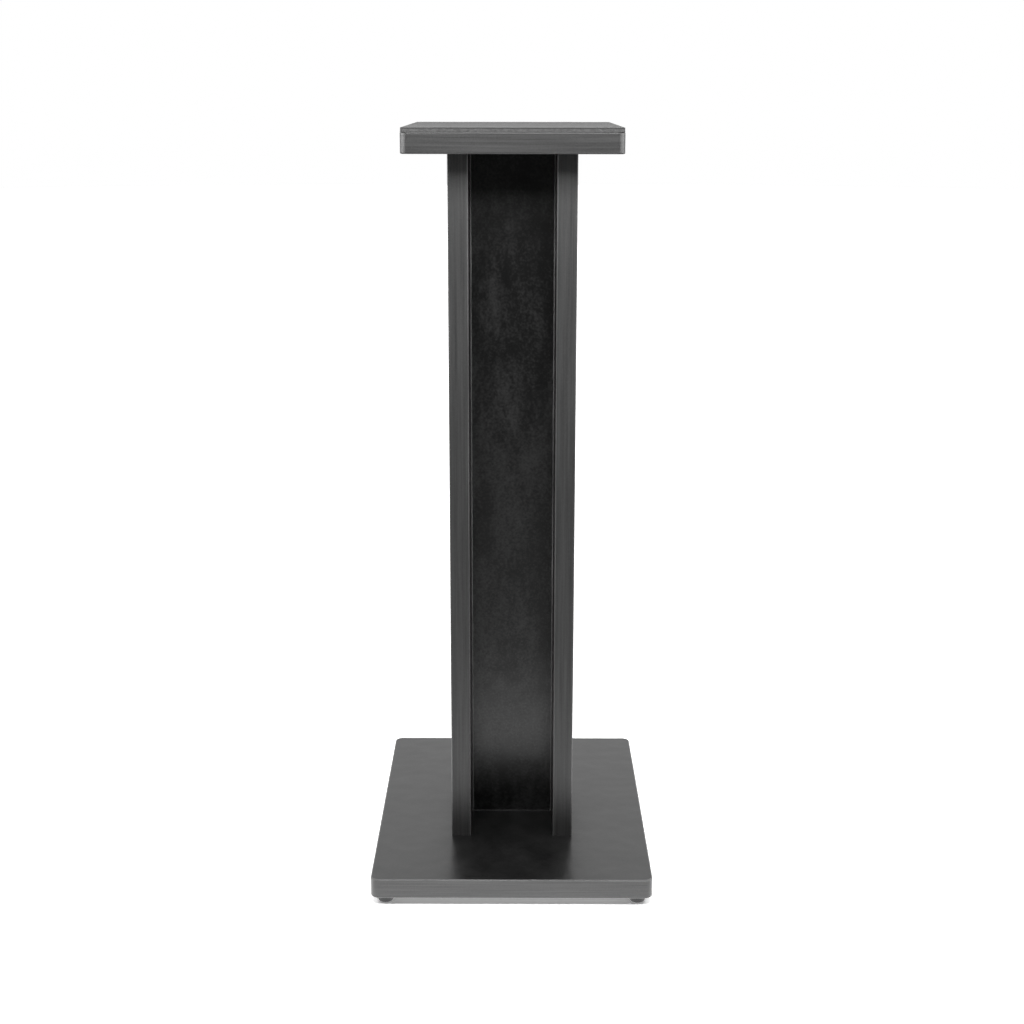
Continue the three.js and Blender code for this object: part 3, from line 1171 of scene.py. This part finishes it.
@dataclass
class Studio:
    """A plain pale floor, soft lamps, a white surround and the camera.

    Attributes:
        floor_radius: how far the floor reaches, in metres.
        pool: a painted pool of glow on the floor, which reflections and bounced light see and the camera does not, as
            distance in metres and level.
        wall: how bright everything but the camera finds the wall behind the stand.
        dark: the same for the studio behind the camera.
        lens, pitch, heading, roll, camera_place, shift: the camera, in millimetres, degrees and metres.
        lamps: the soft lamps.
    """

    floor_radius: float = 12.0
    pool: tuple[tuple[float, float], ...] = (
        (0.0, 2.7),
        (0.27, 2.6),
        (0.4, 1.7),
        (0.47, 0.1),
        (0.9, 0.1),
        (1.0, 0.5),
        (1.4, 0.5),
        (1.7, 0.06),
        (6.0, 0.02),
    )
    wall: float = 1.2
    dark: float = 0.02
    lens: float = 56.95
    pitch: float = 12.886
    heading: float = 0.134
    roll: float = 0.069
    camera_place: tuple[float, float, float] = (0.0033, -1.6074, 0.7697)
    shift: float = -0.0503
    lamps: tuple[Softbox, ...] = (
        Softbox("softbox_left", (-0.73, -0.21, 0.8), (0, 0, 0.8), (0.76, 0.3), 6.8),
        Softbox("softbox_right", (0.73, -0.21, 0.84), (0, 0, 0.84), (0.76, 0.36), 5.9),
        Softbox("softbox_front", (0, -0.6, 1.0), (0, 0, 0.5), (0.8, 0.25), 14.5),
    )

    def build(self) -> None:
        """Sets up the floor, the lamps, the surround and the camera."""
        self.floor()
        for lamp in self.lamps:
            lamp.hang()
        self.surround()
        self.camera()
        bpy.context.scene.view_settings.view_transform = "Standard"

    def floor(self) -> None:
        """Lays the pale floor, which the camera sees as white outside the stand's shadow."""
        mesh = bmesh.new()
        bmesh.ops.create_circle(mesh, cap_ends=True, radius=self.floor_radius, segments=96)
        data = bpy.data.meshes.new("studio_floor")
        mesh.to_mesh(data)
        mesh.free()
        data.materials.append(self.floor_material())
        sheet = bpy.data.objects.new("studio_floor", data)
        bpy.context.scene.collection.objects.link(sheet)

    def floor_material(self) -> bpy.types.Material:
        """White paper for the camera, with a painted pool of glow by distance from the stand that reflections and
        bounced light see.
        """
        made = bpy.data.materials.new("paper_white_floor")
        made.use_nodes = True
        tree = made.node_tree
        tree.nodes.clear()
        rays = add_node(tree, "ShaderNodeLightPath").outputs
        seen = add_node(
            tree, "ShaderNodeMath", {"operation": "MAXIMUM"}, {0: rays["Is Camera Ray"], 1: rays["Is Transmission Ray"]}
        ).outputs[0]
        place = add_node(tree, "ShaderNodeTexCoord").outputs["Object"]
        away = add_node(tree, "ShaderNodeVectorMath", {"operation": "LENGTH"}, {0: place}).outputs["Value"]
        # Painted pool of light: the floor glows by its distance from the stand, brightest round the stand's foot, for
        # reflections and bounced light.
        reach, peak = self.pool[-1][0], max(level for _, level in self.pool)
        share = add_node(tree, "ShaderNodeMath", {"operation": "DIVIDE", 1: reach}, {0: away})
        curve = add_node(tree, "ShaderNodeFloatCurve", links={"Value": share.outputs[0]})
        points = curve.mapping.curves[0].points
        for number, (distance, level) in enumerate(self.pool):
            spot = (distance / reach, level / peak)
            if number < 2:
                points[number].location = spot
            else:
                points.new(*spot)
            points[number].handle_type = "VECTOR"
        curve.mapping.update()
        pooled = add_node(tree, "ShaderNodeMath", {"operation": "MULTIPLY", 1: peak}, {0: curve.outputs[0]})
        lift = add_node(
            tree,
            "ShaderNodeMapRange",
            {"interpolation_type": "SMOOTHSTEP", "From Min": 0.5, "From Max": 1.8, "To Min": 0.15, "To Max": 0.8},
            {"Value": away},
        )
        glow = add_node(tree, "ShaderNodeMix", links={0: seen, 2: pooled.outputs[0], 3: lift.outputs[0]})
        light = add_node(tree, "ShaderNodeEmission", {"Color": (1, 1, 1, 1)}, {"Strength": glow.outputs[0]})
        white = add_node(tree, "ShaderNodeMix", {2: 0.1, 3: 0.8}, {0: seen})
        paper = [add_node(tree, "ShaderNodeBsdfDiffuse", links={"Color": white.outputs[0]}) for _ in range(2)]
        sheet = add_node(tree, "ShaderNodeAddShader", links={0: paper[0].outputs[0], 1: paper[1].outputs[0]})
        both = add_node(tree, "ShaderNodeAddShader", links={0: sheet.outputs[0], 1: light.outputs[0]})
        add_node(tree, "ShaderNodeOutputMaterial", links={"Surface": both.outputs[0]})
        return made

    def surround(self) -> None:
        """Makes the surround white for the camera, with a bright wall behind the stand and a dim studio before it."""
        world = bpy.data.worlds.new("studio_surround")
        bpy.context.scene.world = world
        world.use_nodes = True
        tree = world.node_tree
        tree.nodes.clear()
        rays = add_node(tree, "ShaderNodeLightPath").outputs
        seen = add_node(
            tree, "ShaderNodeMath", {"operation": "MAXIMUM"}, {0: rays["Is Camera Ray"], 1: rays["Is Transmission Ray"]}
        ).outputs[0]
        way = add_node(tree, "ShaderNodeTexCoord").outputs["Generated"]
        split = add_node(tree, "ShaderNodeSeparateXYZ", links={0: way})
        wall = add_node(
            tree,
            "ShaderNodeMapRange",
            {"interpolation_type": "SMOOTHSTEP", "From Min": -0.1, "From Max": 0.35, "To Min": self.dark, "To Max": self.wall},
            {"Value": split.outputs["Y"]},
        )
        level = add_node(tree, "ShaderNodeMix", {3: 1.0}, {0: seen, 2: wall.outputs[0]})
        sky = add_node(tree, "ShaderNodeBackground", {"Color": (1, 1, 1, 1)}, {"Strength": level.outputs[0]})
        add_node(tree, "ShaderNodeOutputWorld", links={"Surface": sky.outputs[0]})

    def camera(self) -> None:
        """Sets the camera at the picture's viewing angle."""
        data = bpy.data.cameras.new("camera")
        data.lens = self.lens
        data.sensor_width = 36.0
        data.shift_y = self.shift
        data.clip_start, data.clip_end = 0.05, 60.0
        camera = bpy.data.objects.new("camera", data)
        turn = (
            Matrix.Rotation(math.radians(self.heading), 4, "Z")
            @ Matrix.Rotation(math.radians(90 - self.pitch), 4, "X")
            @ Matrix.Rotation(math.radians(self.roll), 4, "Z")
        )
        camera.matrix_world = Matrix.Translation(self.camera_place) @ turn
        bpy.context.scene.collection.objects.link(camera)
        bpy.context.scene.camera = camera


def main() -> None:
    """Builds the stand from the floor up, then the studio."""
    logging.basicConfig(level=logging.INFO, format="%(name)s: %(message)s", force=True)
    feet = Feet()
    feet.build()
    base = Plate("base_plate", "base_screw", 273.0, 352.0, FOOT_HEIGHT, False, BASE_ARRIS_HIGHLIGHT)
    base.build(feet.pilots())
    base.fasten()
    Column().build()
    top = Plate("top_plate", "top_screw", 203.0, 262.0, TOP_BOTTOM, True, TOP_ARRIS_HIGHLIGHT)
    top.build()
    top.fasten()
    Pad().build()
    Studio().build()


if __name__ == "__main__":
    main()
